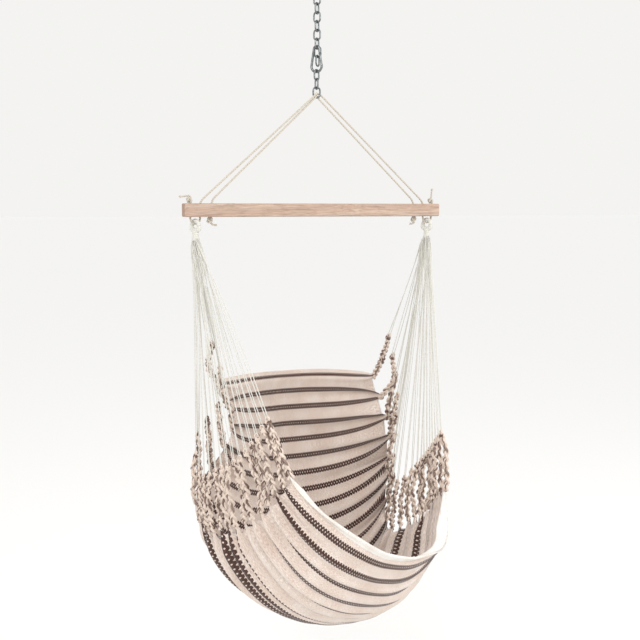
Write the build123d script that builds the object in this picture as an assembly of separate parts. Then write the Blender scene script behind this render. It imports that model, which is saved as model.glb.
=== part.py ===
from build123d import *
import os
from math import asin, cos, degrees, pi, radians, sin, sqrt

# A hanging hammock chair: a ceiling plate, a chain with a snap hook, a square wooden spreader bar on
# two ropes, and a woven sling hung from the bar's ends by plaited braids and thin cords.
# Millimetres, +Z up. The origin is the centre of the ceiling plate's top face, X runs along the bar
# and the sitter faces -Y.

clearance = 0.3          # between pieces that move on each other

# ceiling plate
plate_size = 60.0
plate_thickness = 4.0
plate_corner = 6.0
screw_spacing = 44.0
screw_hole = 6.5
bow_wire = 6.0
bow_bend = 10.0          # radius of the bow's centre line
bow_drop = 20.0          # from the plate's underside to the bow's lowest centre line
bow_yaw = -50.0

# chain
link_wire = 5.0
link_inner_length = 25.0
link_bend = 10.0         # radius of a link's end, on the wire's centre line
chain_links = 7
odd_yaw = 42.0
even_yaw = -50.0
tail_yaws = [-48.0, 42.0]
tail_offset = 3.6        # the tail hangs beside the snap hook in the last chain link

# snap hook
hook_wire = 7.0
hook_height = 80.0
hook_top_bend = 8.5
hook_bottom_bend = 16.5
hook_yaw = -48.0
hook_offset = -2.9
gate_hinge_depth = 22.0  # below the hook's highest centre line
gate_length = 30.0       # from the gate's pin to its free end
gate_wire = 6.0
pin_diameter = 2.5
pin_clearance = 0.05
tongue_thickness = 2.4
tongue_clearance = 0.3
knuckle_radius = 3.5
knuckle_play = 0.5       # the tongue's round end inside the gate's knuckle

# the links below the hook; the last one is wider and takes both ropes
lower_yaws = [30.0, 90.0, 0.0]
last_link_bend = 10.5

# spreader bar and its ropes
bar_length = 800.0
bar_section = 38.0
bar_edge = 4.0
hole_insets = [20.0, 48.0, 78.0]
rope = 6.0
hole_clearance = 1.0
bar_drop = 324.0         # from the last link's lowest wire to the bar's centre
rope_bed = 7.6           # how much higher the outer rope lies, on top of the inner one
rope_spread = 3.0        # how much wider the outer rope passes over the wire
rope_shoulder = 15.0     # how far it runs on past the wire before it turns down, on the right
shoulder_drop = 3.0
shoulder_bend = 9.0
rope_mouth = 5.0         # where a rope starts to bend, above a hole's mouth
mouth_bend = 11.0
knot_width = 24.0
knot_height = 19.0
knot_seat = 0.4          # share of its height between a knot's middle and the bar
tail_length = 26.0

# eye of the suspension cords, and its whipping
eye_bar = 11.0
eye_bend = 13.0
eye_height = 40.0
eye_yaw = -60.0
loop_drop = 19.3         # from the bar's underside to the rope's lowest centre line
eye_lift = 9.6           # from the rope's centre line up to the eye bar's centre line
whipping_diameter = 23.0
whipping_length = 24.0

# suspension cords and braids
cord = 2.5
cord_pitch = 2.8
cord_bite = 2.0          # how far a cord's ends run into the whipping and the braid
braids = 20
braids_per_group = 4
braid_length = 155.0
braid_top = 17.0
braid_root = 20.0
braid_crowding = 0.4     # 0 spaces the braids evenly; more crowds them towards the front
braid_cord_spacing = 7.0

# sling, measured from the bar's centre: the middle line and the two side edges, back to front
cloth = 4.0
hem_thickness = 7.0
hem_share = 0.02
edge_fall = 2.6
edge_sweep = 2.0
side_bulge = 0.05
lip_tilt = 40.0          # the front lip lies higher on the left
lip_sag = 220.0          # and hangs below its right corner
lip_reach = 6.0          # how fast that fades towards the back
centre_points = [
    (0, 298, -530), (0, 330, -800), (0, 245, -1085), (0, 50, -1228),
    (0, -190, -1192), (0, -397, -1045), (0, -492, -875),
]
left_points = [
    (-245, 223, -540), (-205, 250, -720), (-325, 180, -830), (-345, 60, -930),
    (-325, -100, -885), (-285, -240, -820), (-205, -330, -690),
]
right_points = [
    (293, 223, -550), (345, 200, -760), (335, 190, -920), (320, 150, -1045),
    (330, 30, -990), (315, -120, -900), (300, -260, -800),
]
rows_along = 19
rows_across = 19
hem_rows = 4


def tube(path, diameter):
    start = Plane(origin=path @ 0, z_dir=path % 0)
    return sweep(start * Circle(diameter / 2), path=path)


def bend_tube(bend, diameter, upper):
    """Half a ring of round wire in the XY plane, bulging to +Y when upper."""
    section = Plane.XZ * Pos(bend, 0) * Circle(diameter / 2)
    half = revolve(section, Axis.Z, 180)
    return half if upper else Rot(0, 0, 180) * half


def oval(bend, height, diameter):
    """A closed oval of round wire in the XY plane; height is measured on the wire's centre line."""
    reach = height / 2 - bend
    straight = Rot(90, 0, 0) * Cylinder(diameter / 2, 2 * reach)
    ends = [Pos(0, reach, 0) * bend_tube(bend, diameter, True)]
    ends += [Pos(0, -reach, 0) * bend_tube(bend, diameter, False)]
    return ends[0] + ends[1] + Pos(bend, 0, 0) * straight + Pos(-bend, 0, 0) * straight


def stand(shape, yaw, place):
    """Stand a shape drawn in XY upright, with its X along the yaw."""
    return Pos(*place) * (Rot(0, 0, yaw) * (Rot(90, 0, 0) * shape))


def beside(offset, yaw):
    return offset * cos(radians(yaw)), offset * sin(radians(yaw))


def seat_rise(bend, parent_wire, child_wire, offset=0.0):
    """How far a child's wire lies above the lowest wire of the bend that carries it."""
    reach = bend - (parent_wire + child_wire) / 2 - clearance
    return bend - sqrt(reach**2 - offset**2)


def write(name, *shapes):
    solids = [solid for shape in shapes for solid in shape.solids()]
    export_step(solids[0] if len(solids) == 1 else Compound(solids), f"parts/{name}.step")


# heights of the hanging line, from the ceiling down

link_height = link_inner_length + link_wire
link_rise = seat_rise(link_bend, link_wire, link_wire)
bow_low = -plate_thickness - bow_drop
bow_rise = seat_rise(bow_bend, bow_wire, link_wire)
first_low = bow_low + bow_rise - link_height
chain_lows = [first_low - i * (link_height - link_rise) for i in range(chain_links)]
hook_top = chain_lows[-1] + seat_rise(link_bend, link_wire, hook_wire, hook_offset)
hook_low = hook_top - hook_height + hook_wire
tail_top = chain_lows[-1] + seat_rise(link_bend, link_wire, link_wire, tail_offset)
lower_rise = seat_rise(hook_bottom_bend, hook_wire, link_wire)
lower_lows = [hook_low + lower_rise - link_height - i * (link_height - link_rise) for i in range(3)]
bar_z = lower_lows[-1] - bar_drop
bar_top = bar_z + bar_section / 2
bar_under = bar_z - bar_section / 2
loop_z = bar_under - loop_drop
holes = [bar_length / 2 - inset for inset in hole_insets]
eye_x = (holes[0] + holes[1]) / 2


def ceiling_plate():
    plate = Pos(0, 0, -plate_thickness / 2) * Box(plate_size, plate_size, plate_thickness)
    plate = fillet(plate.edges().filter_by(Axis.Z), plate_corner)
    drill = Pos(0, 0, -plate_thickness / 2) * Cylinder(screw_hole / 2, 2 * plate_thickness)
    return plate - GridLocations(screw_spacing, screw_spacing, 2, 2) * drill


def pad_bow():
    leg = bow_drop - bow_bend
    straight = Rot(90, 0, 0) * Cylinder(bow_wire / 2, leg)
    bow = bend_tube(bow_bend, bow_wire, False)
    bow += [Pos(side * bow_bend, leg / 2, 0) * straight for side in (-1, 1)]
    return stand(bow, bow_yaw, (0, 0, bow_low + bow_bend))


def link(low, yaw, bend=link_bend, place=(0, 0)):
    shape = oval(bend, link_height, link_wire)
    return stand(shape, yaw, (*place, low + link_height / 2))


def hook_outline():
    """Key points of the pear-shaped hook on its wire's centre line, top centre at the origin."""
    top = Vector(0, -hook_top_bend)
    bottom = Vector(0, hook_wire - hook_height + hook_bottom_bend)
    lean = asin((hook_bottom_bend - hook_top_bend) / (top - bottom).length)
    out = Vector(cos(lean), sin(lean))
    hinge = top + out * hook_top_bend
    along = Vector(sin(lean), -cos(lean))
    hinge += along * ((hinge.Y + gate_hinge_depth) / cos(lean))
    return top, bottom, out, along, hinge


def hook_body():
    top, bottom, out, along, hinge = hook_outline()
    back = Vector(-out.X, out.Y)
    right_top = top + out * hook_top_bend
    left_top = top + back * hook_top_bend
    left_low = bottom + back * hook_bottom_bend
    nose = hinge + along * (gate_length + clearance)
    nose_low = bottom + out * hook_bottom_bend
    neck = hinge - along * (knuckle_radius + clearance)
    path = Line(neck, right_top) + ThreePointArc(right_top, Vector(0, 0), left_top)
    path += Line(left_top, left_low)
    path += ThreePointArc(left_low, bottom - Vector(0, hook_bottom_bend), nose_low)
    path += Line(nose_low, nose)
    body = tube(Wire(path.edges()), hook_wire)
    eye_radius = knuckle_radius - knuckle_play
    tongue = Box(2 * eye_radius, 2 * (knuckle_radius + 1), tongue_thickness)
    lean = degrees(asin(along.X))
    middle = hinge - along * (knuckle_radius + 1)
    body += Pos(middle.X, middle.Y, 0) * (Rot(0, 0, lean) * tongue)
    body += Pos(hinge.X, hinge.Y, 0) * Cylinder(eye_radius, tongue_thickness)
    body -= Pos(hinge.X, hinge.Y, 0) * Cylinder(pin_diameter / 2 + pin_clearance, hook_wire)
    return body


def hook_gate():
    top, bottom, out, along, hinge = hook_outline()
    lean = degrees(asin(along.X))
    rod = Pos(0, -gate_length / 2, 0) * (Rot(90, 0, 0) * Cylinder(gate_wire / 2, gate_length))
    knuckle = Cylinder(knuckle_radius, gate_wire)
    slot_length = 2 * knuckle_radius + 2 * clearance
    slot = Box(3 * knuckle_radius, 2 * slot_length, tongue_thickness + 2 * tongue_clearance)
    gate = rod + knuckle - slot
    gate -= Cylinder(pin_diameter / 2, hook_wire)
    return Pos(hinge.X, hinge.Y, 0) * (Rot(0, 0, lean) * gate)


def gate_pin():
    hinge = hook_outline()[4]
    return Pos(hinge.X, hinge.Y, 0) * Cylinder(pin_diameter / 2, gate_wire)


def in_hook(shape):
    """Put a hook piece, drawn from the hook's top centre, in its place in the last chain link."""
    return stand(shape, hook_yaw, (*beside(hook_offset, odd_yaw), hook_top))


def spreader_bar():
    bar = Pos(0, 0, bar_z) * Box(bar_length, bar_section, bar_section)
    bar = fillet(bar.edges(), bar_edge)
    drill = Cylinder((rope + hole_clearance) / 2, 2 * bar_section)
    for x in holes:
        bar -= Pos(x, 0, bar_z) * drill
        bar -= Pos(-x, 0, bar_z) * drill
    return bar


def bed_points(side, lift, spread):
    """Where a rope lies over the last link's wire: in front on the left, behind on the right."""
    low = lower_lows[-1]
    reach = (link_wire + rope) / 2 + clearance
    return Vector(0, side * (reach + spread), low + reach + lift)


def outer_rope():
    loop = (holes[0] - holes[1]) / 2
    path = []
    for side in (-1, 1):
        bed = bed_points(side, rope_bed, rope_spread)
        half = [
            Vector(side * holes[0], 0, bar_top),
            Vector(side * holes[0], 0, loop_z),
            Vector(side * holes[1], 0, loop_z),
            Vector(side * holes[1], 0, bar_top + rope_mouth),
            bed,
        ]
        if side > 0:
            half.insert(4, bed + Vector(rope_shoulder, 0, -shoulder_drop))
        path += half if side < 0 else half[::-1]
    bends = [loop * 0.999, loop * 0.999, mouth_bend]
    turn = (link_wire + rope) / 2
    radii = [*bends, turn, turn, shoulder_bend, *bends[::-1]]
    return tube(FilletPolyline(*path, radius=radii), rope)


def inner_rope():
    path = []
    for side in (-1, 1):
        half = [
            Vector(side * holes[2], 0, bar_under),
            Vector(side * holes[2], 0, bar_top + rope_mouth),
            bed_points(side, 0, 0),
        ]
        path += half if side < 0 else half[::-1]
    bed = (link_wire + rope) / 2
    return tube(FilletPolyline(*path, radius=[mouth_bend, bed, bed, mouth_bend]), rope)


def knot(x, level, up, tail):
    """A stopper knot that bears on the bar, with the rope's cut end pointing along tail."""
    ball = scale(Sphere(knot_width / 2), (1, 1, knot_height / knot_width))
    middle = Vector(x, 0, level + up * knot_height * knot_seat)
    half = Pos(x, 0, level + up * knot_width / 2) * Box(2 * knot_width, 2 * knot_width, knot_width)
    lump = (Pos(*middle) * ball) & half
    end = Plane(origin=middle, z_dir=tail) * Cylinder(
        rope / 2, knot_width / 2 + tail_length, align=(Align.CENTER, Align.CENTER, Align.MIN)
    )
    return lump + end


def eye_loop(side):
    height = eye_height - eye_bar
    shape = oval(eye_bend, height, eye_bar)
    return stand(shape, eye_yaw, (side * eye_x, 0, loop_z + eye_lift - height / 2))


eye_low = loop_z + eye_lift - eye_height + eye_bar / 2
cords_from = eye_low - whipping_length + eye_bar / 2


def whipping(side):
    neck = Pos(side * eye_x, 0, cords_from) * Cylinder(
        whipping_diameter / 2, whipping_length, align=(Align.CENTER, Align.CENTER, Align.MIN)
    )
    return neck - eye_loop(side)


# sling

centre_line = Spline(*[Vector(*p) for p in centre_points])
left_line = Spline(*[Vector(*p) for p in left_points])
right_line = Spline(*[Vector(*p) for p in right_points])


def sling_point(along, across):
    """A point of the sling: along runs 0..1 from back to front, across -1..1 from left to right."""
    middle = centre_line @ along
    edge = (right_line if across > 0 else left_line) @ along
    out = abs(across)
    swell = 1 + side_bulge * sin(pi * along) * (1 - out**2) * 4 * out
    x = edge.X * out * swell
    y = middle.Y + (edge.Y - middle.Y) * out**edge_sweep
    z = middle.Z + (edge.Z - middle.Z) * out**edge_fall
    right = max(across, 0)
    lip = lip_tilt * sin(pi * across) + lip_sag * right**4 * (1 - right**8)
    return Vector(x, y, z - lip * along**lip_reach + bar_z)


def strip(start, stop, rows, thickness):
    """A length of the sling between two shares of its run, as one closed sheet."""
    grid = [
        [sling_point(start + (stop - start) * i / (rows - 1), 2 * j / (rows_across - 1) - 1)
         for j in range(rows_across)]
        for i in range(rows)
    ]
    face = Face.make_surface_from_array_of_points(grid, tol=0.05, min_deg=3, max_deg=3)
    return thicken(face, amount=thickness / 2, both=True)


def braid_ends(side, index):
    """Root on the sling's side edge and top towards the eye, for one braid."""
    share = index / (braids - 1)
    along = share + braid_crowding * sin(pi * share) / pi
    root = sling_point(along, side)
    neck = Vector(side * eye_x, 0, cords_from)
    return root, root + (neck - root).normalized() * braid_length


def braid(side, index):
    root, top = braid_ends(side, index)
    plane = Plane(origin=root, z_dir=top - root)
    return plane * Cone(
        braid_root / 2, braid_top / 2, braid_length, align=(Align.CENTER, Align.CENTER, Align.MIN)
    )


def cord_starts(side):
    """Places of the cords in the whipping, in rows from back to front."""
    count = 2 * braids
    reach = whipping_diameter / 2 - cord / 2
    spots = []
    rows = int(2 * reach / cord_pitch) + 1
    for row in range(rows):
        y = ((rows - 1) / 2 - row) * cord_pitch
        half = sqrt(max(reach**2 - y**2, 0))
        slots = int(2 * half / cord_pitch) + 1
        spots += [(side * (i - (slots - 1) / 2) * cord_pitch, y) for i in range(slots)]
    step = (len(spots) - 1) / (count - 1)
    return [spots[round(i * step)] for i in range(count)]


def cords(side):
    starts = cord_starts(side)
    lengths = []
    solids = []
    for index in range(braids):
        root, top = braid_ends(side, index)
        before = braid_ends(side, max(index - 1, 0))[1]
        after = braid_ends(side, min(index + 1, braids - 1))[1]
        pull = (top - root).normalized()
        sideways = after - before
        sideways = (sideways - pull * sideways.dot(pull)).normalized() * (braid_cord_spacing / 2)
        for half in (0, 1):
            x, y = starts[2 * index + half]
            start = Vector(side * eye_x + x, y, cords_from)
            end = top + sideways * (2 * half - 1)
            run = end - start
            reach = run.normalized() * cord_bite
            plane = Plane(origin=start - reach, z_dir=run)
            length = run.length + 2 * cord_bite
            lengths.append(length)
            solids.append(
                plane * Cylinder(cord / 2, length, align=(Align.CENTER, Align.CENTER, Align.MIN))
            )
    print("cords", "left" if side < 0 else "right", round(min(lengths)), round(max(lengths)))
    return solids


os.makedirs("parts", exist_ok=True)
write("ceiling_plate", ceiling_plate())
write("pad_eye_bow", pad_bow())
for i, low in enumerate(chain_lows):
    write(f"chain_link_{i + 1}", link(low, odd_yaw if i % 2 == 0 else even_yaw))
for i, yaw in enumerate(tail_yaws):
    low = tail_top - link_height - i * (link_height - link_rise)
    write(f"tail_link_{i + 1}", link(low, yaw, place=beside(tail_offset, odd_yaw)))
write("snap_hook_body", in_hook(hook_body()))
write("snap_hook_gate", in_hook(hook_gate()))
write("snap_hook_pin", in_hook(gate_pin()))
load = Pos(*beside(hook_offset, odd_yaw), 0)
for i, low in enumerate(lower_lows):
    bend = last_link_bend if i == 2 else link_bend
    write(f"lower_link_{i + 1}", load * link(low, lower_yaws[i], bend))
write("spreader_bar", load * spreader_bar())
write("rope_outer", load * outer_rope())
write("rope_inner", load * inner_rope())
print("load line", load.position, "bar", round(bar_z, 3), "loop", round(loop_z, 3))
print("bow", round(bow_low, 3), "chain", [round(z, 3) for z in chain_lows], "tail", round(tail_top, 3))
print("hook", round(hook_top, 3), round(hook_low, 3), "lower", [round(z, 3) for z in lower_lows])
for name, side in (("left", -1), ("right", 1)):
    top_tail = Vector(-1, -0.25, 0.45) if side < 0 else Vector(0.1, 0, 1)
    low_tail = Vector(1, -0.3, -0.25) if side < 0 else Vector(-1, -0.3, -0.2)
    write(f"knot_top_{name}", load * knot(side * holes[0], bar_top, 1, top_tail))
    write(f"knot_under_{name}", load * knot(side * holes[2], bar_under, -1, low_tail))
    write(f"eye_loop_{name}", load * eye_loop(side))
    write(f"eye_whipping_{name}", load * whipping(side))
    write(f"cords_{name}", *[load * solid for solid in cords(side)])
    for group in range(braids // braids_per_group):
        first = group * braids_per_group
        members = [load * braid(side, first + i) for i in range(braids_per_group)]
        write(f"braids_{name}_{group + 1}", *members)
write("sling_cloth", load * strip(hem_share, 1 - hem_share, rows_along, cloth))
write("back_hem", load * strip(0, hem_share, hem_rows, hem_thickness))
write("front_hem", load * strip(1 - hem_share, 1, hem_rows, hem_thickness))
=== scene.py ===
import math

import bpy
import numpy as np
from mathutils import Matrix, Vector, noise


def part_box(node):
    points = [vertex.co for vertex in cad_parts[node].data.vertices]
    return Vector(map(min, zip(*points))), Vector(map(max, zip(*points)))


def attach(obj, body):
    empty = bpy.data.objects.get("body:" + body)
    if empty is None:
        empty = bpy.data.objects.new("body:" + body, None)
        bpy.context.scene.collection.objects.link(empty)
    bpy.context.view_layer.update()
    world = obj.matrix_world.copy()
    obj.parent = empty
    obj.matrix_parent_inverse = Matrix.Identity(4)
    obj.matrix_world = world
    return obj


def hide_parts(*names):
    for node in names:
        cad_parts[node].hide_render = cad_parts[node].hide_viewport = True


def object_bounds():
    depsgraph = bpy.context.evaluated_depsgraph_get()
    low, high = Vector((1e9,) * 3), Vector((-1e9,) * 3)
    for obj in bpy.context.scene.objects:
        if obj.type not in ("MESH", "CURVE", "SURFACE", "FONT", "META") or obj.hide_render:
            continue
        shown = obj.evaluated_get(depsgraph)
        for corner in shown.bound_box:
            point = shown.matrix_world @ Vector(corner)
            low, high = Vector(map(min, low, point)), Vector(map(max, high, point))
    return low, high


# A hanging hammock chair. Lengths are in metres, in the part's own frame; places on the chair are
# worked out from the middle of the spreader bar.

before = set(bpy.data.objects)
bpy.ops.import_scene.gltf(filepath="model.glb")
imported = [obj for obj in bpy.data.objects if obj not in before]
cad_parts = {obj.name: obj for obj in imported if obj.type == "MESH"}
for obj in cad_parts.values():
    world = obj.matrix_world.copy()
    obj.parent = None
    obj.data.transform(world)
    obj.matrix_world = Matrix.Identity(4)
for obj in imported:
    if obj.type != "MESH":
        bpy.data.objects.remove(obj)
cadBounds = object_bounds()
barLow, barHigh = (np.array(corner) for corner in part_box("spreader_bar"))
barMiddle = (barLow + barHigh) / 2
halfBar = (barHigh - barLow) / 2


def linear(hexColour):
    channels = [int(hexColour[i:i + 2], 16) / 255 for i in (1, 3, 5)]
    return [c / 12.92 if c <= 0.04045 else ((c + 0.055) / 1.055) ** 2.4 for c in channels] + [1.0]


def addNode(tree, kind, inputs=None, **settings):
    node = tree.nodes.new(kind)
    for name, value in settings.items():
        setattr(node, name, value)
    for name, value in (inputs or {}).items():
        if isinstance(value, bpy.types.NodeSocket):
            tree.links.new(value, node.inputs[name])
        else:
            node.inputs[name].default_value = value
    return node


def newMaterial(name, **constants):
    material = bpy.data.materials.new(name)
    material.use_nodes = True
    shader = material.node_tree.nodes["Principled BSDF"]
    for socket, value in constants.items():
        shader.inputs[socket.replace("_", " ")].default_value = value
    return material, material.node_tree, shader


def colourRamp(tree, factor, stops):
    ramp = addNode(tree, "ShaderNodeValToRGB", {"Fac": factor})
    elements = ramp.color_ramp.elements
    while len(elements) < len(stops):
        elements.new(0.5)
    for element, (position, colour) in zip(elements, stops):
        element.position = position
        element.color = linear(colour)
    return ramp.outputs["Color"]


def mixColour(tree, factor, first, second, blend="MIX"):
    mix = addNode(tree, "ShaderNodeMix", data_type="RGBA", blend_type=blend)
    for index, value in ((0, factor), (6, first), (7, second)):
        if isinstance(value, bpy.types.NodeSocket):
            tree.links.new(value, mix.inputs[index])
        else:
            mix.inputs[index].default_value = value
    return mix.outputs[2]


def compute(tree, operation, *values):
    node = addNode(tree, "ShaderNodeMath", operation=operation)
    for index, value in enumerate(values):
        if isinstance(value, bpy.types.NodeSocket):
            tree.links.new(value, node.inputs[index])
        else:
            node.inputs[index].default_value = value
    return node.outputs[0]


def addBump(tree, shader, height, strength, distance):
    bump = addNode(tree, "ShaderNodeBump", {"Height": height, "Strength": strength, "Distance": distance})
    tree.links.new(bump.outputs["Normal"], shader.inputs["Normal"])


def zincMaterial():
    # zinc plated steel wire, dulled outdoors: grey, softly glossy, with faint cloudy spangle
    material, tree, shader = newMaterial("zincPlatedSteel", Metallic=1.0)
    place = addNode(tree, "ShaderNodeTexCoord").outputs["Object"]
    cloud = addNode(tree, "ShaderNodeTexNoise", {"Vector": place, "Scale": 160.0, "Detail": 4.0})
    grit = addNode(tree, "ShaderNodeTexNoise", {"Vector": place, "Scale": 900.0, "Detail": 3.0})
    colour = colourRamp(tree, cloud.outputs["Fac"], [(0.3, "#5f6464"), (0.55, "#7a7f7f"), (0.75, "#939898")])
    tree.links.new(colour, shader.inputs["Base Color"])
    rough = addNode(tree, "ShaderNodeMapRange", {"Value": cloud.outputs["Fac"],
                                                 "To Min": 0.24, "To Max": 0.46})
    tree.links.new(rough.outputs[0], shader.inputs["Roughness"])
    addBump(tree, shader, grit.outputs["Fac"], 0.25, 0.0002)
    return material


def woodMaterial():
    # planed, unvarnished pale hardwood: long grain along the bar, pores 8 to 30 mm long
    material, tree, shader = newMaterial("planedHardwood", Roughness=0.62)
    place = addNode(tree, "ShaderNodeTexCoord").outputs["Object"]
    centred = addNode(tree, "ShaderNodeMapping", {"Vector": place, "Location": tuple(-barMiddle)})
    bend = addNode(tree, "ShaderNodeTexNoise", {"Vector": centred.outputs[0], "Scale": 3.0, "Detail": 2.0})
    warp = addNode(tree, "ShaderNodeVectorMath", {0: bend.outputs["Color"], 1: (0.0, 0.03, 0.03)},
                   operation="MULTIPLY")
    bent = addNode(tree, "ShaderNodeVectorMath", {0: centred.outputs[0], 1: warp.outputs[0]},
                   operation="ADD")
    rings = addNode(tree, "ShaderNodeMapping", {"Vector": bent.outputs[0], "Scale": (0.9, 22.0, 22.0),
                                                "Rotation": (0.35, 0.0, 0.0)})
    ringNoise = addNode(tree, "ShaderNodeTexNoise", {"Vector": rings.outputs[0], "Scale": 4.5,
                                                     "Detail": 3.0})
    pores = addNode(tree, "ShaderNodeMapping", {"Vector": bent.outputs[0], "Scale": (28.0, 900.0, 900.0)})
    poreNoise = addNode(tree, "ShaderNodeTexNoise", {"Vector": pores.outputs[0], "Scale": 1.0,
                                                     "Detail": 4.0})
    base = colourRamp(tree, ringNoise.outputs["Fac"], [
        (0.3, "#8c7362"), (0.43, "#b59b89"), (0.52, "#a48977"), (0.6, "#bfa795"), (0.72, "#987e6d")])
    streaks = colourRamp(tree, poreNoise.outputs["Fac"], [(0.34, "#8d6a55"), (0.46, "#ffffff")])
    colour = mixColour(tree, 0.55, base, streaks, "MULTIPLY")
    grey = addNode(tree, "ShaderNodeMapping", {"Vector": bent.outputs[0], "Scale": (3.0, 110.0, 110.0)})
    greyNoise = addNode(tree, "ShaderNodeTexNoise", {"Vector": grey.outputs[0], "Scale": 1.0, "Detail": 3.0})
    weathered = addNode(tree, "ShaderNodeMapRange", {"Value": greyNoise.outputs["Fac"], "From Min": 0.5,
                                                     "From Max": 0.72, "To Max": 0.5})
    colour = mixColour(tree, weathered.outputs[0], colour, linear("#9c9288"))
    # the sawn ends drink in more dirt than the planed sides
    lengthways = addNode(tree, "ShaderNodeSeparateXYZ", {"Vector": centred.outputs[0]}).outputs["X"]
    sawn = compute(tree, "GREATER_THAN", compute(tree, "ABSOLUTE", lengthways), halfBar[0] - 0.001)
    colour = mixColour(tree, compute(tree, "MULTIPLY", sawn, 0.45), colour, linear("#8c6d55"))
    tree.links.new(colour, shader.inputs["Base Color"])
    addBump(tree, shader, poreNoise.outputs["Fac"], 0.35, 0.0006)
    return material


def fibreColour(tree, uv, stops, along=260.0, around=9.0):
    fibres = addNode(tree, "ShaderNodeMapping", {"Vector": uv, "Scale": (around, along, 1.0)})
    streak = addNode(tree, "ShaderNodeTexNoise", {"Vector": fibres.outputs[0], "Scale": 1.0, "Detail": 4.0,
                                                  "Roughness": 0.65})
    return streak.outputs["Fac"], colourRamp(tree, streak.outputs["Fac"], stops)


def ropeMaterial():
    # laid jute-like rope: greyish tan fibres, matt, darker between its strands
    material, tree, shader = newMaterial("laidRopeFibre", Roughness=0.9, Sheen_Weight=0.15)
    uv = addNode(tree, "ShaderNodeUVMap", uv_map="UVMap").outputs[0]
    height, colour = fibreColour(tree, uv, [(0.3, "#958d80"), (0.5, "#bfb7aa"), (0.7, "#dcd6cb")])
    tree.links.new(colour, shader.inputs["Base Color"])
    addBump(tree, shader, height, 0.6, 0.0006)
    return material


def cottonMaterial():
    # soft twisted cotton cord: off-white, matt, with a light sheen at its edges
    material, tree, shader = newMaterial("twistedCotton", Roughness=0.92, Sheen_Weight=0.25)
    uv = addNode(tree, "ShaderNodeUVMap", uv_map="UVMap").outputs[0]
    height, colour = fibreColour(tree, uv, [(0.28, "#a9a79f"), (0.5, "#cfcdc5"), (0.72, "#e8e6df")])
    tree.links.new(colour, shader.inputs["Base Color"])
    addBump(tree, shader, height, 0.5, 0.0005)
    return material


def braidMaterial():
    # plaited cotton yarn, cream or dark brown by the yarn's own dye
    material, tree, shader = newMaterial("plaitedYarn", Roughness=0.9, Sheen_Weight=0.25)
    uv = addNode(tree, "ShaderNodeUVMap", uv_map="UVMap").outputs[0]
    dye = addNode(tree, "ShaderNodeAttribute", attribute_name="dye").outputs["Fac"]
    height, cream = fibreColour(tree, uv, [(0.3, "#b59f8f"), (0.5, "#dccbbd"), (0.7, "#efe4d8")])
    brown = fibreColour(tree, uv, [(0.3, "#3b2822"), (0.5, "#60463b"), (0.7, "#866b5f")])[1]
    tree.links.new(mixColour(tree, dye, cream, brown), shader.inputs["Base Color"])
    addBump(tree, shader, height, 0.7, 0.0008)
    return material


weave = {
    "stripePitch": 0.0593,     # from one brown stripe to the next
    "firstStripe": 0.014,      # from the back edge
    "stripeWidth": 0.018,
    "diamondPitch": 0.0105,
    "ribSpacing": 0.0026,      # thick weft threads
    "warpShare": 1.3,          # the warp's spacing in weft spacings
    "stripeEdge": 1.12,        # where the stripe ends, in half stripe widths
    "floatWidth": 0.64,
}


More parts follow.
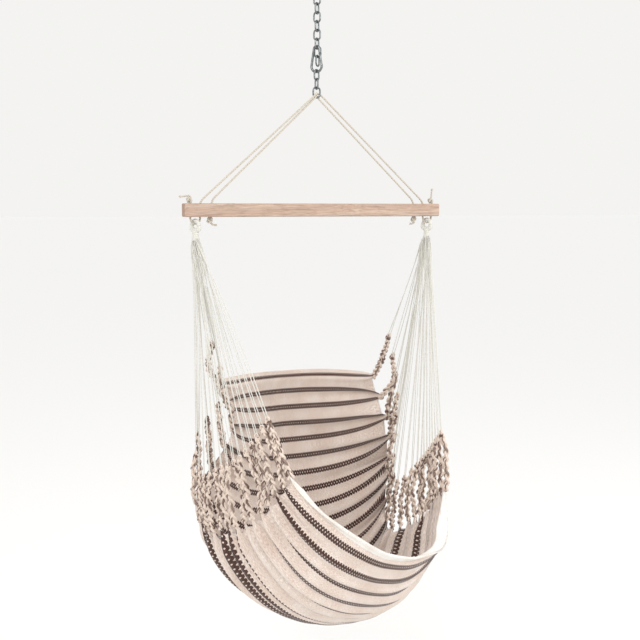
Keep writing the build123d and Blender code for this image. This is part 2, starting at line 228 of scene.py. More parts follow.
def clothMaterial(name, striped):
    # coarse hand-woven cotton: cream weft slubs over a pinkish beige warp, and brown stripes whose
    # threads float over and under so that small cream specks show in them
    material, tree, shader = newMaterial(name, Roughness=0.93, Sheen_Weight=0.3)
    uv = addNode(tree, "ShaderNodeUVMap", uv_map="UVMap").outputs[0]
    axes = addNode(tree, "ShaderNodeSeparateXYZ", {"Vector": uv})
    across, along = axes.outputs["X"], axes.outputs["Y"]
    slubMap = addNode(tree, "ShaderNodeMapping", {"Vector": uv, "Scale": (150.0, 700.0, 1.0)})
    slub = addNode(tree, "ShaderNodeTexNoise", {"Vector": slubMap.outputs[0], "Scale": 1.0, "Detail": 3.0})
    clump = addNode(tree, "ShaderNodeTexNoise", {"Vector": uv, "Scale": 14.0, "Detail": 3.0})
    weft = 2 * math.pi / weave["ribSpacing"]
    warp = 2 * math.pi / (weave["warpShare"] * weave["ribSpacing"])
    threadAlong = compute(tree, "SINE", compute(tree, "MULTIPLY", along, weft))
    threadAcross = compute(tree, "SINE", compute(tree, "MULTIPLY", across, warp))
    checker = compute(tree, "MULTIPLY", threadAlong, threadAcross)
    plain = colourRamp(tree, slub.outputs["Fac"], [(0.28, "#c4b0a3"), (0.48, "#e2d3c8"), (0.7, "#f6eee8")])
    if not striped:
        # the back hem is turned from the cloth itself, the front one is a bleached selvage
        bleached = colourRamp(tree, slub.outputs["Fac"], [
            (0.28, "#dad5cd"), (0.48, "#f3f0ea"), (0.7, "#fdfcf9")])
        plain = mixColour(tree, compute(tree, "GREATER_THAN", along, 0.5), plain, bleached)
    shade = colourRamp(tree, clump.outputs["Fac"], [(0.3, "#efe6df"), (0.7, "#ffffff")])
    plain = mixColour(tree, 0.8, plain, shade, "MULTIPLY")
    # painted shade: the cloth colour is darkened where the weave's bump height is low, in the hollows
    # between threads
    weaveHollowShade = addNode(tree, "ShaderNodeMapRange", {"Value": checker, "From Min": -1.0,
                                                   "To Min": 0.89, "To Max": 1.0})
    plain = mixColour(tree, 1.0, plain, weaveHollowShade.outputs[0], "MULTIPLY")
    colour = plain
    if striped:
        shifted = compute(tree, "SUBTRACT", along, weave["firstStripe"] - weave["stripePitch"] / 2)
        turn = compute(tree, "FRACT", compute(tree, "DIVIDE", shifted, weave["stripePitch"]))
        offset = compute(tree, "ABSOLUTE", compute(tree, "SUBTRACT", turn, 0.5))
        rise = compute(tree, "DIVIDE", offset, weave["stripeWidth"] / weave["stripePitch"] / 2)
        zigzag = compute(tree, "PINGPONG", across, weave["diamondPitch"] / 2)
        zigzag = compute(tree, "DIVIDE", zigzag, weave["diamondPitch"] / 2)
        band = compute(tree, "LESS_THAN", rise, weave["stripeEdge"])
        offLine = compute(tree, "ABSOLUTE", compute(tree, "SUBTRACT", rise, zigzag))
        bars = compute(tree, "MULTIPLY", band, compute(tree, "LESS_THAN", offLine, weave["floatWidth"]))
        brown = colourRamp(tree, slub.outputs["Fac"], [
            (0.3, "#2c1b16"), (0.5, "#432c25"), (0.72, "#65483c")])
        colour = mixColour(tree, bars, plain, brown)
    tree.links.new(colour, shader.inputs["Base Color"])
    height = compute(tree, "ADD", compute(tree, "MULTIPLY", checker, 0.6), slub.outputs["Fac"])
    addBump(tree, shader, height, 0.55, 0.0009)
    return material


def evenly(points, step):
    points = np.asarray(points, float)
    run = np.concatenate([[0], np.cumsum(np.linalg.norm(np.diff(points, axis=0), axis=1))])
    places = np.linspace(0, run[-1], max(2, int(round(run[-1] / step)) + 1))
    return np.stack([np.interp(places, run, points[:, axis]) for axis in range(3)], axis=1)


def routeLine(points, step):
    # the smooth line of a NURBS spline whose control points are the route's points
    curve = bpy.data.curves.new("route", "CURVE")
    curve.dimensions = "3D"
    curve.resolution_u = 24
    spline = curve.splines.new("NURBS")
    spline.points.add(len(points) - 1)
    for spot, place in zip(spline.points, points):
        spot.co = (*place, 1.0)
    spline.order_u = 3
    spline.use_endpoint_u = True
    holder = bpy.data.objects.new("route", curve)
    bpy.context.collection.objects.link(holder)
    line = bpy.data.meshes.new_from_object(holder)
    read = np.array([vertex.co[:] for vertex in line.vertices])
    bpy.data.objects.remove(holder)
    bpy.data.curves.remove(curve)
    bpy.data.meshes.remove(line)
    return evenly(read, step)


def lineFrames(path, closed=False):
    ahead = np.roll(path, -1, axis=0) - np.roll(path, 1, axis=0)
    if not closed:
        ahead[0] = path[1] - path[0]
        ahead[-1] = path[-1] - path[-2]
    ahead /= np.linalg.norm(ahead, axis=1)[:, None]
    sides = np.empty_like(path)
    start = np.cross(ahead[0], (0, 0, 1) if abs(ahead[0][2]) < 0.9 else (1, 0, 0))
    sides[0] = start / np.linalg.norm(start)
    for i in range(1, len(path)):
        turned = sides[i - 1] - ahead[i] * np.dot(sides[i - 1], ahead[i])
        sides[i] = turned / np.linalg.norm(turned)
    return ahead, sides, np.cross(ahead, sides)


def around(path, radius, turns, phase, closed=False, width=1.0):
    # a line that winds round the path; turns counts whole windings over its length
    _, sides, ups = lineFrames(path, closed)
    count = len(path)
    share = np.arange(count) / (count if closed else count - 1)
    angle = phase + 2 * math.pi * turns * share
    reach = np.broadcast_to(radius, count)
    return path + sides * (reach * np.cos(angle) * width)[:, None] + ups * (reach * np.sin(angle))[:, None]


def tubePiece(name, tubes, sides, material):
    # one mesh of many round tubes; each tube is (path, radius, dye, closed)
    corners, faces, uvs, dyes = [], [], [], []
    base = 0
    ring = 2 * math.pi * np.arange(sides) / sides
    for path, radius, dye, closed in tubes:
        _, across, up = lineFrames(path, closed)
        count = len(path)
        reach = np.broadcast_to(radius, count)[:, None, None]
        cosine, sine = np.cos(ring)[None, :, None], np.sin(ring)[None, :, None]
        spokes = cosine * across[:, None, :] + sine * up[:, None, :]
        corners.append((path[:, None, :] + reach * spokes).reshape(-1, 3))
        dyes.append(np.full(count * sides, dye))
        run = np.concatenate([[0], np.cumsum(np.linalg.norm(np.diff(path, axis=0), axis=1))])
        rings = count if closed else count - 1
        i = np.arange(rings)[:, None]
        j = np.arange(sides)[None, :]
        nextRing = (i + 1) % count
        quads = np.stack([i * sides + j, i * sides + (j + 1) % sides,
                          nextRing * sides + (j + 1) % sides, nextRing * sides + j], axis=2) + base
        faces += quads.reshape(-1, 4).tolist()
        step = run[1] - run[0]
        low = np.broadcast_to(run[:rings, None], (rings, sides))
        high = low + step
        left = np.broadcast_to(j / sides, (rings, sides))
        right = left + 1 / sides
        uvs.append(np.stack([left, low, right, low, right, high, left, high], axis=2).reshape(-1, 2))
        if not closed:
            for first, turned in ((0, True), ((count - 1) * sides, False)):
                cap = [base + first + k for k in range(sides)]
                faces.append(cap[::-1] if turned else cap)
                uvs.append(np.tile([0.5, run[-1] if first else 0.0], (sides, 1)))
        base += count * sides
    return meshPiece(name, np.concatenate(corners), faces, np.concatenate(uvs), material,
                     np.concatenate(dyes))


def meshPiece(name, corners, faces, uvs, material, dyes=None):
    mesh = bpy.data.meshes.new(name)
    mesh.from_pydata(corners.tolist(), [], faces)
    layer = mesh.uv_layers.new(name="UVMap")
    layer.data.foreach_set("uv", np.asarray(uvs, np.float32).ravel())
    if dyes is not None:
        attribute = mesh.attributes.new("dye", "FLOAT", "POINT")
        attribute.data.foreach_set("value", np.asarray(dyes, np.float32))
    mesh.polygons.foreach_set("use_smooth", [True] * len(mesh.polygons))
    mesh.materials.append(material)
    piece = bpy.data.objects.new(name, mesh)
    bpy.context.collection.objects.link(piece)
    return piece


ropeSizes = {
    "thickness": 0.006,
    "lay": 0.021,              # length of one whole twist of the three strands
    "strand": 0.245,           # a strand's radius, and how far out it lies, in rope thicknesses
    "strandReach": 0.26,
    "step": 0.0024,            # between a line's rings
    "knotStep": 0.0016,
    "cutFlare": 0.0012,        # how far the strands spread at a cut end
    "strandSides": 8,
    "outerLength": 1.22,
    "innerLength": 0.98,
    "holeInsets": [0.020, 0.048, 0.078],
    "loopDrop": 0.0193,        # under the bar, to the rope's middle
    "bedHeight": 0.3298,       # the inner rope over the last link, above the bar's middle
    "bedReach": 0.0058,        # half the inner rope's way over the wire
    "outerLift": 0.0076,
    "outerSpread": 0.003,
    "mouthRise": 0.005,
    "shoulder": 0.015,         # how far the outer rope runs on past the wire, on the right
    "shoulderDrop": 0.003,
    "straightFrom": 0.036,
}


def laidTubes(path, thickness, lay, flare=0.0):
    strand = thickness * ropeSizes["strand"]
    reach = np.full(len(path), thickness * ropeSizes["strandReach"])
    if flare:
        last = 6
        reach[-last:] += np.linspace(0, flare, last)
    run = np.linalg.norm(np.diff(path, axis=0), axis=1).sum()
    return [(around(path, reach, run / lay, k * 2 * math.pi / 3), strand, 0.0, False) for k in range(3)]


def ropeRoute(outer):
    sizes = ropeSizes
    halfLength = halfBar[0]
    holes = [halfLength - inset for inset in sizes["holeInsets"]]
    level = halfBar[2]
    loop = -level - sizes["loopDrop"]
    reach = sizes["bedReach"] + (sizes["outerSpread"] if outer else 0)
    top = sizes["bedHeight"] + (sizes["outerLift"] if outer else 0)
    points = []
    for side in (-1, 1):
        mouth = np.array([side * (holes[1] if outer else holes[2]), 0, level + sizes["mouthRise"]])
        bed = np.array([0, side * reach, top])
        last = [bed]
        if outer and side > 0:
            last = [bed + (sizes["shoulder"], 0, -sizes["shoulderDrop"]), bed]
        pull = (last[0] - mouth) / np.linalg.norm(last[0] - mouth)
        half = [mouth, mouth + pull * sizes["straightFrom"], last[0] - pull * sizes["straightFrom"]] + last
        if outer:
            high = loop + sizes["straightFrom"]
            half = [(side * holes[0], 0, level), (side * holes[0], 0, high), (side * holes[0], 0, loop),
                    (side * holes[1], 0, loop), (side * holes[1], 0, high)] + half
        else:
            half = [(side * holes[2], 0, -level)] + half
        points += half if side < 0 else half[::-1]
    return [np.array(point) + barMiddle for point in points]


knotSizes = {
    "spread": 0.0023,
    "depth": 0.0034,
    "ramp": 0.0025,            # the line enters behind itself and leaves in front
    "overrun": 0.25,
    "middle": 0.0095,          # over the bar
    "shift": 1.2,              # how far the bulk is drawn back over the hole, in spreads
    "rise": 0.0065,            # from the knot up to its tail
    "tails": {
        "knot_top_left": ((-1, -0.15, -0.12), 0.034), "knot_top_right": ((0.1, 0, 1), 0.024),
        "knot_under_left": ((1, -0.3, -0.05), 0.016), "knot_under_right": ((-1, -0.3, -0.05), 0.018),
    },
}


def knotRoute(name, x, up):
    # an overhand stopper knot: a trefoil line, entered from the hole and left along the tail
    sizes = knotSizes
    turns = np.linspace(-sizes["overrun"], 2 * math.pi + sizes["overrun"], 26)
    loops = 2 + np.cos(3 * turns)
    flat = np.stack([loops * np.cos(2 * turns) - sizes["shift"], loops * np.sin(2 * turns)], axis=1)
    flat = flat * sizes["spread"]
    depth = np.sin(3 * turns) * sizes["depth"] + np.linspace(-sizes["ramp"], sizes["ramp"], len(turns))
    level = halfBar[2]
    points = [(x, 0, up * (level - 0.012)), (x, 0, up * (level - 0.002))]
    points += [(x + a, d, up * (level + sizes["middle"] + b)) for (a, b), d in zip(flat, depth)]
    end = np.array(points[-1])
    tail, reach = sizes["tails"][name]
    tail = np.array(tail) / np.linalg.norm(tail)
    rise = np.array((0, 0, up * sizes["rise"]))
    points += [end + rise, end + 1.5 * rise + tail * 0.006]
    points += [end + 1.5 * rise + tail * share * reach for share in (0.6, 1.0)]
    return [np.array(point) + barMiddle for point in points]


def makeRopes(material):
    sizes = ropeSizes
    holes = [halfBar[0] - inset for inset in sizes["holeInsets"]]
    for name, side in (("left", -1), ("right", 1)):
        for level, hole, up in (("top", holes[0], 1), ("under", holes[2], -1)):
            knotName = f"knot_{level}_{name}"
            path = routeLine(knotRoute(knotName, side * hole, up), sizes["knotStep"])
            strands = laidTubes(path, sizes["thickness"], sizes["lay"], sizes["cutFlare"])
            knot = tubePiece(knotName + "_rope", strands, sizes["strandSides"], material)
            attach(knot, "hanger")
            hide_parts(knotName)
    for outer in (True, False):
        path = routeLine(ropeRoute(outer), sizes["step"])
        label = "outer" if outer else "inner"
        strands = laidTubes(path, sizes["thickness"], sizes["lay"])
        rope = tubePiece(f"rope_{label}_laid", strands, sizes["strandSides"], material)
        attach(rope, "hanger")
        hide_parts(f"rope_{label}")
        level = "top" if outer else "under"
        length = float(np.linalg.norm(np.diff(path, axis=0), axis=1).sum())
        print("rope", label, "runs", round(length, 3), "m")


slingSizes = {
    "edgeFall": 2.6,
    "edgeSweep": 2.0,
    "sideBulge": 0.05,
    "lipTilt": 0.040,          # the front lip lies higher on the left
    "lipSag": 0.220,           # and hangs below its right corner
    "lipReach": 6.0,
    "braids": 20,
    "crowding": 0.4,           # braids stand closer together towards the front
    "clothWidth": 0.90,
    "clothLength": 1.54,
    "thickness": 0.0026,
    "hemThickness": 0.0052,
    "gather": 0.62,            # how far the edge is drawn to the nearest braid
    "gatherReach": 0.055,
    "scallop": 0.045,
    "pleatDepth": 0.017,
    "pleatReach": 0.20,
    "backHem": 0.008,          # shares of the cloth's length
    "frontHem": 0.015,
}
centrePoints = [
    (0, 0.298, -0.530), (0, 0.330, -0.800), (0, 0.245, -1.085), (0, 0.050, -1.228),
    (0, -0.190, -1.192), (0, -0.397, -1.045), (0, -0.492, -0.875),
]
leftPoints = [
    (-0.245, 0.223, -0.540), (-0.205, 0.250, -0.720), (-0.325, 0.180, -0.830), (-0.345, 0.060, -0.930),
    (-0.325, -0.100, -0.885), (-0.285, -0.240, -0.820), (-0.205, -0.330, -0.690),
]
rightPoints = [
    (0.293, 0.223, -0.550), (0.345, 0.200, -0.760), (0.335, 0.190, -0.920), (0.320, 0.150, -1.045),
    (0.330, 0.030, -0.990), (0.315, -0.120, -0.900), (0.300, -0.260, -0.800),
]


def bentLine(points):
    # a natural cubic through the points, read at shares 0 to 1 of its run
    points = np.array(points, float)
    knots = np.concatenate([[0], np.cumsum(np.linalg.norm(np.diff(points, axis=0), axis=1))])
    knots /= knots[-1]
    gaps = np.diff(knots)
    count = len(points)
    system = np.eye(count)
    pull = np.zeros((count, 3))
    for i in range(1, count - 1):
        system[i, i - 1:i + 2] = gaps[i - 1], 2 * (gaps[i - 1] + gaps[i]), gaps[i]
        pull[i] = 6 * ((points[i + 1] - points[i]) / gaps[i] - (points[i] - points[i - 1]) / gaps[i - 1])
    curl = np.linalg.solve(system, pull)

    def read(share):
        share = np.clip(share, 0, 1)
        i = np.clip(np.searchsorted(knots, share, side="right") - 1, 0, count - 2)
        gap = gaps[i][..., None]
        a = (knots[i + 1] - share)[..., None]
        b = (share - knots[i])[..., None]
        return (curl[i] * a ** 3 + curl[i + 1] * b ** 3) / (6 * gap) + (
            points[i] / gap - curl[i] * gap / 6) * a + (points[i + 1] / gap - curl[i + 1] * gap / 6) * b

    return read


centreLine = bentLine(centrePoints)
leftLine = bentLine(leftPoints)
rightLine = bentLine(rightPoints)
braidShares = np.linspace(0, 1, slingSizes["braids"])
braidPlaces = braidShares + slingSizes["crowding"] * np.sin(math.pi * braidShares) / math.pi


def slingPlace(along, across):
    # a place on the smooth sling: along 0..1 from back to front, across -1..1 from left to right
    sizes = slingSizes
    along, across = np.broadcast_arrays(np.asarray(along, float), np.asarray(across, float))
    middle = centreLine(along)
    edge = np.where((across > 0)[..., None], rightLine(along), leftLine(along))
    out = np.abs(across)
    swell = 1 + sizes["sideBulge"] * np.sin(math.pi * along) * (1 - out ** 2) * 4 * out
    x = edge[..., 0] * out * swell
    y = middle[..., 1] + (edge[..., 1] - middle[..., 1]) * out ** sizes["edgeSweep"]
    z = middle[..., 2] + (edge[..., 2] - middle[..., 2]) * out ** sizes["edgeFall"]
    right = np.maximum(across, 0)
    lip = sizes["lipTilt"] * np.sin(math.pi * across) + sizes["lipSag"] * right ** 4 * (1 - right ** 8)
    z = z - lip * np.clip(along, 0, None) ** sizes["lipReach"]
    return np.stack([x, y, z], axis=-1) + barMiddle


def slingOutward(along, across):
    step = 1e-3
    down = slingPlace(along + step, across) - slingPlace(along - step, across)
    over = slingPlace(along, across + step) - slingPlace(along, across - step)
    normal = np.cross(over, down)
    return normal / np.linalg.norm(normal, axis=-1)[..., None]


def smoothStep(value, low, high):
    share = np.clip((value - low) / (high - low), 0, 1)
    return share * share * (3 - 2 * share)


def folds(along, across):
    # slow, seeded unevenness of the hanging cloth, in metres
    flat = np.stack([across * 0.48, along * 1.54], axis=-1).reshape(-1, 2)
    rough = np.array([noise.noise((x * 3.1, y * 6.0, 2.7)) * 0.007
                      + noise.noise((x * 9.0, y * 21.0, 8.1)) * 0.0022 for x, y in flat])
    return rough.reshape(along.shape)


def pleatedPlace(along, across, lift=0.0):
    sizes = slingSizes
    index = np.interp(along, braidPlaces, np.arange(sizes["braids"]))
    nearest = np.clip(np.round(index), 0, sizes["braids"] - 1)
    between = index - nearest
    halfWidth = sizes["clothWidth"] / 2
    inland = (1 - np.abs(across)) * halfWidth
    drawn = np.exp(-inland / sizes["gatherReach"])
    target = np.interp(nearest, np.arange(sizes["braids"]), braidPlaces)
    pulled = along + (target - along) * sizes["gather"] * drawn
    recede = sizes["scallop"] * (2 * between) ** 2 * np.exp(-inland / 0.03)
    recede = recede * (1 - smoothStep(along, 0.78, 0.92) * (across > 0))
    moved = across * (1 - recede)
    place = slingPlace(pulled, moved)
    outward = slingOutward(np.clip(pulled, 0.002, 0.998), np.clip(moved, -0.998, 0.998))
    wave = np.cos(2 * math.pi * index + 0.9 * np.sin(index * 2.3))
    ripple = np.cos(4 * math.pi * index + 1.7 * np.sin(index * 1.1))
    fade = np.exp(-inland / sizes["pleatReach"]) * smoothStep(inland, -0.01, 0.05)
    height = sizes["pleatDepth"] * (wave + 0.45 * ripple) * fade
    calm = smoothStep(np.abs(inland), 0.0, 0.06)
    height = height + folds(along, across) * calm + lift
    return place + outward * height[..., None]


def sheetPiece(name, alongFrom, alongTo, rows, columns, material, lift=0.0):
    along, across = np.meshgrid(np.linspace(alongFrom, alongTo, rows), np.linspace(-1, 1, columns),
                                indexing="ij")
    places = pleatedPlace(along, across, lift)
    i, j = np.meshgrid(np.arange(rows - 1), np.arange(columns - 1), indexing="ij")
    first = (i * columns + j).ravel()
    faces = np.stack([first, first + columns, first + columns + 1, first + 1], axis=1)
    flatX = across * slingSizes["clothWidth"] / 2
    flatY = along * slingSizes["clothLength"]
    uvs = np.stack([flatX, flatY], axis=-1).reshape(-1, 2)[faces.ravel()]
    return meshPiece(name, places.reshape(-1, 3), faces.tolist(), uvs, material)


def thicken(piece, thickness):
    bpy.ops.object.select_all(action="DESELECT")
    bpy.context.view_layer.objects.active = piece
    piece.select_set(True)
    solid = piece.modifiers.new("cloth", "SOLIDIFY")
    solid.thickness = thickness
    solid.offset = 0.0
    bpy.ops.object.modifier_apply(modifier=solid.name)


def makeSling(striped, plain):
    sizes = slingSizes
    cloth = sheetPiece("sling_striped_cloth", 0.004, 0.996, 211, 181, striped)
    thicken(cloth, sizes["thickness"])
    for name, low, high in (("back_hem", 0.0, sizes["backHem"]), ("front_hem", 1 - sizes["frontHem"], 1.0)):
        band = sheetPiece(f"{name}_band", low, high, 9, 181, plain)
        thicken(band, sizes["hemThickness"])
        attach(band, "sling")
        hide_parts(name)
    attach(cloth, "sling")
    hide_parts("sling_cloth")


braidSizes = {
    "length": 0.155,
    "sway": 0.0085,            # how far a strand swings to each side
    "weft": 0.0042,
    "pitch": 0.058,
    "yarn": 0.0022,
    "yarnsPerStrand": 5,
    "perGroup": 4,
    "bow": 0.006,
    "rootDepth": 0.012,        # how far a braid's yarns run into the cloth
    "wander": 0.0035,
    "yarnTurns": 5.0,          # of a strand's yarns round each other
    "headRadius": 0.0056,      # the looped head that takes the cord
    "headYarn": 0.0019,
    "headGap": 0.0016,
    "bindYarn": 0.0017,        # the turns that bind the head
    "bindTurns": 3,
    "bindWide": 0.0074,
    "bindDeep": 0.0056,
    "slack": {(-1, 0): 0.026, (-1, 1): 0.016, (1, 1): 0.020, (1, 2): -0.014},
}


def eyeNeck(side):
    low, high = (np.array(c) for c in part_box("eye_whipping_left" if side < 0 else "eye_whipping_right"))
    return np.array([(low[0] + high[0]) / 2, (low[1] + high[1]) / 2, low[2]])


def braidEnds(side, index):
    root = slingPlace(braidPlaces[index], side)
    pull = eyeNeck(side) - root
    pull /= np.linalg.norm(pull)
    return root, root + pull * braidSizes["length"], pull


def braidTubes(side, index, random):
    sizes = braidSizes
    root, top, pull = braidEnds(side, index)
    start = root - pull * sizes["rootDepth"]
    steps = 58
    share = np.linspace(0, 1, steps)
    ahead = slingPlace(min(braidPlaces[index] + 0.01, 1.0), side)
    tangent = ahead - slingPlace(max(braidPlaces[index] - 0.01, 0.0), side)
    wide = tangent - pull * np.dot(tangent, pull)
    wide /= np.linalg.norm(wide)
    deep = np.cross(pull, wide)
    bow = random.normal(0, 1, 2) * sizes["bow"]
    spine = start[None, :] + (top - start)[None, :] * share[:, None]
    spine = spine + (wide * bow[0] + deep * bow[1])[None, :] * np.sin(math.pi * share)[:, None]
    slack = np.array([side * sizes["slack"].get((side, index), 0.0), 0, 0])
    spine = spine + slack * np.sin(math.pi * share)[:, None] ** 2
    pitch = sizes["pitch"] * random.uniform(0.8, 1.25)
    wander = np.sin(2 * math.pi * (share * random.uniform(1.5, 2.6) + random.random()))
    spine = spine + deep * (sizes["wander"] * wander * np.sin(math.pi * share))[:, None]
    swell = (0.72 + 0.28 * np.sin(math.pi * np.clip(share * 1.15, 0, 1))) * (1 - 0.25 * share)
    phase = random.uniform(0, 2 * math.pi)
    turn = phase + 2 * math.pi * (sizes["length"] + sizes["rootDepth"]) / pitch * share
    brownStrand = random.integers(0, 3)
    tubes = []
    for strand in range(3):
        swing = turn + strand * 2 * math.pi / 3
        line = spine + wide * (sizes["sway"] * swell * np.sin(swing))[:, None]
        line = line + deep * (sizes["weft"] * np.sin(2 * swing))[:, None]
        brownCount = 3 if strand == brownStrand else random.integers(0, 3)
        for yarn in range(sizes["yarnsPerStrand"]):
            lead = yarn * 2 * math.pi / sizes["yarnsPerStrand"]
            winding = around(line, sizes["yarn"] * 0.95, sizes["yarnTurns"], lead)
            dye = random.uniform(0.7, 1.0) if yarn < brownCount else random.uniform(0.0, 0.15)
            girth = sizes["yarn"] * (0.85 + 0.3 * random.random()) * (0.9 + 0.1 * swell)
            tubes.append((winding, girth, dye, False))
    # the looped head that takes the cord, and the turns that bind it
    sweepAngle = np.linspace(-0.35 * math.pi, 1.35 * math.pi, 18)[:, None]
    for offset, dye in ((-sizes["headGap"], 0.0), (sizes["headGap"], float(random.random() < 0.5))):
        head = top + pull * 0.004 + deep * offset
        bent = np.cos(sweepAngle) * wide + np.sin(sweepAngle) * pull
        tubes.append((head[None, :] + sizes["headRadius"] * bent, sizes["headYarn"], dye, False))
    winds = np.linspace(0, 2 * math.pi * sizes["bindTurns"], 44)
    girdle = top[None, :] - pull[None, :] * (0.002 + 0.008 * winds / winds[-1])[:, None]
    girdle = girdle + wide * (sizes["bindWide"] * np.cos(winds))[:, None]
    girdle = girdle + deep * (sizes["bindDeep"] * np.sin(winds))[:, None]
    tubes.append((girdle, sizes["bindYarn"], float(random.random() < 0.4), False))
    return tubes


def makeBraids(material):
    random = np.random.default_rng(7)
    count = slingSizes["braids"] // braidSizes["perGroup"]
    for name, side in (("left", -1), ("right", 1)):
        for group in range(count):
            tubes = []
            for member in range(braidSizes["perGroup"]):
                tubes += braidTubes(side, group * braidSizes["perGroup"] + member, random)
            piece = tubePiece(f"braids_{name}_{group + 1}_yarn", tubes, 6, material)
            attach(piece, "sling")
            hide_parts(f"braids_{name}_{group + 1}")


cordSizes = {
    "thickness": 0.0025,
    "pitch": 0.0028,
    "loopWidth": 0.007,        # between the two runs at a braid
    "eyeBend": 0.013,
    "eyeBar": 0.011,           # at the rope
    "eyeSide": 0.016,          # where the eye hangs free
    "eyeHeight": 0.040,
    "eyeYaw": -60.0,
    "whippingTurns": 9,
    "puff": 0.006,             # how far the outermost runs belly out under the whipping
    "puffPlace": 0.07,         # share of a run where it bellies out most
    "slack": 0.0028,
    "eyeStrands": 9,
    "coilYarn": 0.0015,
    "neckStrands": 14,
    "neckStrand": 0.0021,
}


def cordStarts(side):
    sizes = cordSizes
    low, high = (np.array(c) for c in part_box("eye_whipping_left"))
    reach = (high[0] - low[0]) / 2 - sizes["thickness"] / 2
    rows = int(2 * reach / sizes["pitch"]) + 1
    spots = []
    for row in range(rows):
        y = ((rows - 1) / 2 - row) * sizes["pitch"]
        half = math.sqrt(max(reach ** 2 - y ** 2, 0))
        slots = int(2 * half / sizes["pitch"]) + 1
        spots += [(side * (i - (slots - 1) / 2) * sizes["pitch"], y) for i in range(slots)]
    count = 2 * slingSizes["braids"]
    step = (len(spots) - 1) / (count - 1)
    return [spots[round(i * step)] for i in range(count)]


def cordLine(side, random):
    # one long cord that runs from the eye through each braid's head and back
    starts = cordStarts(side)
    neck = eyeNeck(side)
    points = []
    braids = slingSizes["braids"]
    for index in range(braids):
        _, top, pull = braidEnds(side, index)
        before = braidEnds(side, max(index - 1, 0))[1]
        after = braidEnds(side, min(index + 1, braids - 1))[1]
        sideways = after - before
        sideways = sideways - pull * np.dot(sideways, pull)
        sideways *= cordSizes["loopWidth"] / 2 / np.linalg.norm(sideways)
        runs = []
        for half in (0, 1):
            x, y = starts[2 * index + half]
            start = neck + (x, y, 0.002)
            end = top + sideways * (2 * half - 1) + pull * 0.008
            slack = random.normal(0, cordSizes["slack"], 3)
            share = np.linspace(0, 1, 26)[:, None]
            puff = share / cordSizes["puffPlace"] * np.exp(1 - share / cordSizes["puffPlace"])
            belly = np.array([x, y, 0]) * cordSizes["puff"] / starts[0][1]
            runs.append(start + (end - start) * share + slack * np.sin(math.pi * share) + belly * puff)
        arc = np.linspace(0, math.pi, 7)[1:-1, None]
        middle = (runs[0][-1] + runs[1][-1]) / 2
        turn = middle - sideways * np.cos(arc) - pull * (cordSizes["loopWidth"] / 2) * np.sin(arc)
        points += [runs[0], turn, runs[1][::-1]]
    return np.concatenate(points)


def makeEyes(material):
    sizes = cordSizes
    random = np.random.default_rng(11)
    for name, side in (("left", -1), ("right", 1)):
        low, high = (np.array(c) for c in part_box(f"eye_loop_{name}"))
        middle = (low + high) / 2
        yaw = math.radians(sizes["eyeYaw"])
        wide = np.array([math.cos(yaw), math.sin(yaw), 0])
        up = np.array([0, 0, 1.0])
        reach = (sizes["eyeHeight"] - sizes["eyeBar"]) / 2 - sizes["eyeBend"]
        angles = np.linspace(0, 2 * math.pi, 60, endpoint=False)
        lift = np.where(np.sin(angles) >= 0, reach, -reach)
        # the bar thickens outwards down its sides, so the rope's room in the eye stays as it is
        thicker = smoothStep(-np.sin(angles), -0.35, 0.6)
        girth = sizes["eyeBar"] / 2 + (sizes["eyeSide"] - sizes["eyeBar"]) / 2 * thicker
        stretch = (sizes["eyeBend"] + girth - sizes["eyeBar"] / 2) * np.cos(angles)
        path = middle + stretch[:, None] * wide
        path = path + (sizes["eyeBend"] * np.sin(angles) + lift)[:, None] * up
        strand = girth / 3
        count = sizes["eyeStrands"]
        tubes = [(around(path, girth * 0.96 - strand, 2.0, k * 2 * math.pi / count, True), strand, 0.0, True)
                 for k in range(count)]
        tubes.append((path, girth * 0.55, 0.0, True))
        eye = tubePiece(f"eye_loop_{name}_strands", tubes, 8, material)
        low, high = (np.array(c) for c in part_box(f"eye_whipping_{name}"))
        neck = eyeNeck(side)
        winds = np.linspace(0, 2 * math.pi * sizes["whippingTurns"], 36 * sizes["whippingTurns"])
        share = winds / winds[-1]
        girth = 0.0088 - 0.0012 * np.sin(math.pi * share) + 0.0004 * np.sin(winds * 0.37)
        coil = neck + np.stack([girth * np.cos(winds), girth * np.sin(winds),
                                0.0015 + (high[2] - low[2] - 0.003) * share], axis=1)
        tubes = [(coil, sizes["coilYarn"], 0.0, False)]
        for k in range(sizes["neckStrands"]):
            angle = k * 2 * math.pi / sizes["neckStrands"]
            foot = neck + np.array([0.0098 * math.cos(angle), 0.0098 * math.sin(angle), -0.004])
            head = neck + np.array([0.0066 * math.cos(angle + 0.8), 0.0066 * math.sin(angle + 0.8),
                                    high[2] - low[2] + 0.001])
            share = np.linspace(0, 1, 12)[:, None]
            waist = np.array([math.cos(angle + 0.4), math.sin(angle + 0.4), 0]) * -0.002
            line = foot + (head - foot) * share + waist * np.sin(math.pi * share)
            tubes.append((line, sizes["neckStrand"], 0.0, False))
        whipping = tubePiece(f"eye_whipping_{name}_coil", tubes, 8, material)
        path = cordLine(side, random)
        cord = tubePiece(f"cords_{name}_line", [(path, sizes["thickness"] / 2, 0.0, False)], 6, material)
        for piece, node in ((eye, f"eye_loop_{name}"), (whipping, f"eye_whipping_{name}"),
                            (cord, f"cords_{name}")):
            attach(piece, "sling")
            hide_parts(node)


def finishHardware(zinc, wood):
    for name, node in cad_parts.items():
        if name == "spreader_bar":
            node.data.materials.clear()
            node.data.materials.append(wood)
        elif name.startswith(("ceiling", "pad", "chain", "tail", "snap", "lower", "gate")):
            node.data.materials.clear()
            node.data.materials.append(zinc)


studio = {
    "azimuth": -21.5,
    "distance": 2.74,
    "tilt": 6.9,
    "lens": 51.9,
    "shift": 0.0098,           # the camera stands a little to the right of the bar's middle
    "floorDrop": 0.45,
    "floorSize": 400.0,
    "paper": "#f4f3f1",
}


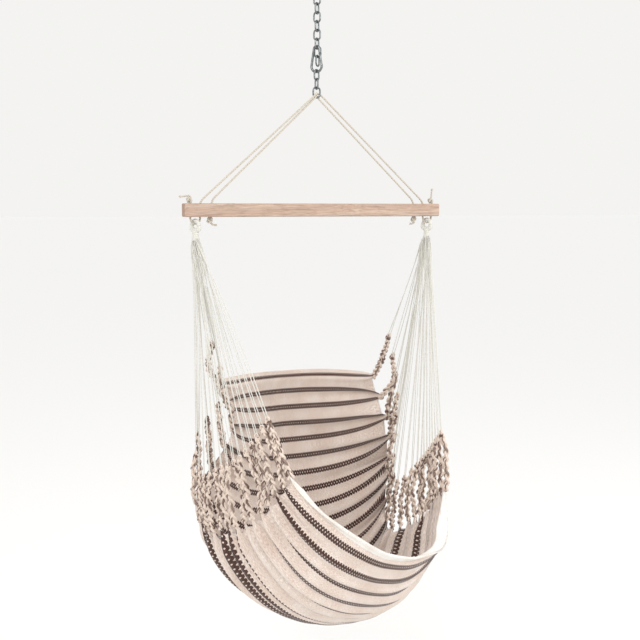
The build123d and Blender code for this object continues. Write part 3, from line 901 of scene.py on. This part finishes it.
def addLight(name, place, size, power):
    light = bpy.data.lights.new(name, "AREA")
    light.size = size
    light.energy = power
    lamp = bpy.data.objects.new(name, light)
    bpy.context.collection.objects.link(lamp)
    lamp.location = place
    aim = Vector(barMiddle) + Vector((0, 0, -0.7)) - lamp.location
    lamp.rotation_euler = aim.to_track_quat("-Z", "Y").to_euler()


def makeStudio():
    turn = math.radians(studio["azimuth"])
    camera = bpy.data.objects.new("camera", bpy.data.cameras.new("camera"))
    bpy.context.collection.objects.link(camera)
    back = Vector((math.sin(turn), -math.cos(turn), 0)) * studio["distance"]
    right = Vector((math.cos(turn), math.sin(turn), 0)) * studio["shift"]
    camera.location = Vector(barMiddle) + back + right + Vector((0, 0, 0.005))
    camera.rotation_euler = (math.radians(90 - studio["tilt"]), 0, turn)
    camera.data.lens = studio["lens"]
    bpy.context.scene.camera = camera
    bpy.ops.object.select_all(action="DESELECT")
    floorLevel = cadBounds[0][2] - studio["floorDrop"]
    bpy.ops.mesh.primitive_plane_add(size=studio["floorSize"], location=(0, 0, floorLevel))
    floor = bpy.context.object
    floor.name = "floor"
    paper, _, shader = newMaterial("paleFloor", Roughness=0.9)
    shader.inputs["Base Color"].default_value = linear(studio["paper"])
    floor.data.materials.append(paper)
    world = bpy.data.worlds.new("studio")
    world.use_nodes = True
    # the sky lights the scene white, and the camera sees it in the floor's own shade
    seen = addNode(world.node_tree, "ShaderNodeLightPath").outputs["Is Camera Ray"]
    sky = mixColour(world.node_tree, seen, (1, 1, 1, 1), linear(studio["paper"]))
    world.node_tree.links.new(sky, world.node_tree.nodes["Background"].inputs["Color"])
    bpy.context.scene.world = world
    bpy.context.scene.view_settings.view_transform = "Standard"
    addLight("key", (-1.9, -2.6, 0.9), 1.6, 60)
    addLight("fill", (2.2, -2.0, 0.2), 2.2, 42)


makeStudio()
print("studio ready")
zinc = zincMaterial()
wood = woodMaterial()
finishHardware(zinc, wood)
makeRopes(ropeMaterial())
print("ropes laid")
cotton = cottonMaterial()
makeEyes(cotton)
print("eyes and cords run")
makeBraids(braidMaterial())
print("braids plaited")
makeSling(clothMaterial("stripedWeave", True), clothMaterial("plainSelvage", False))
print("sling hung")
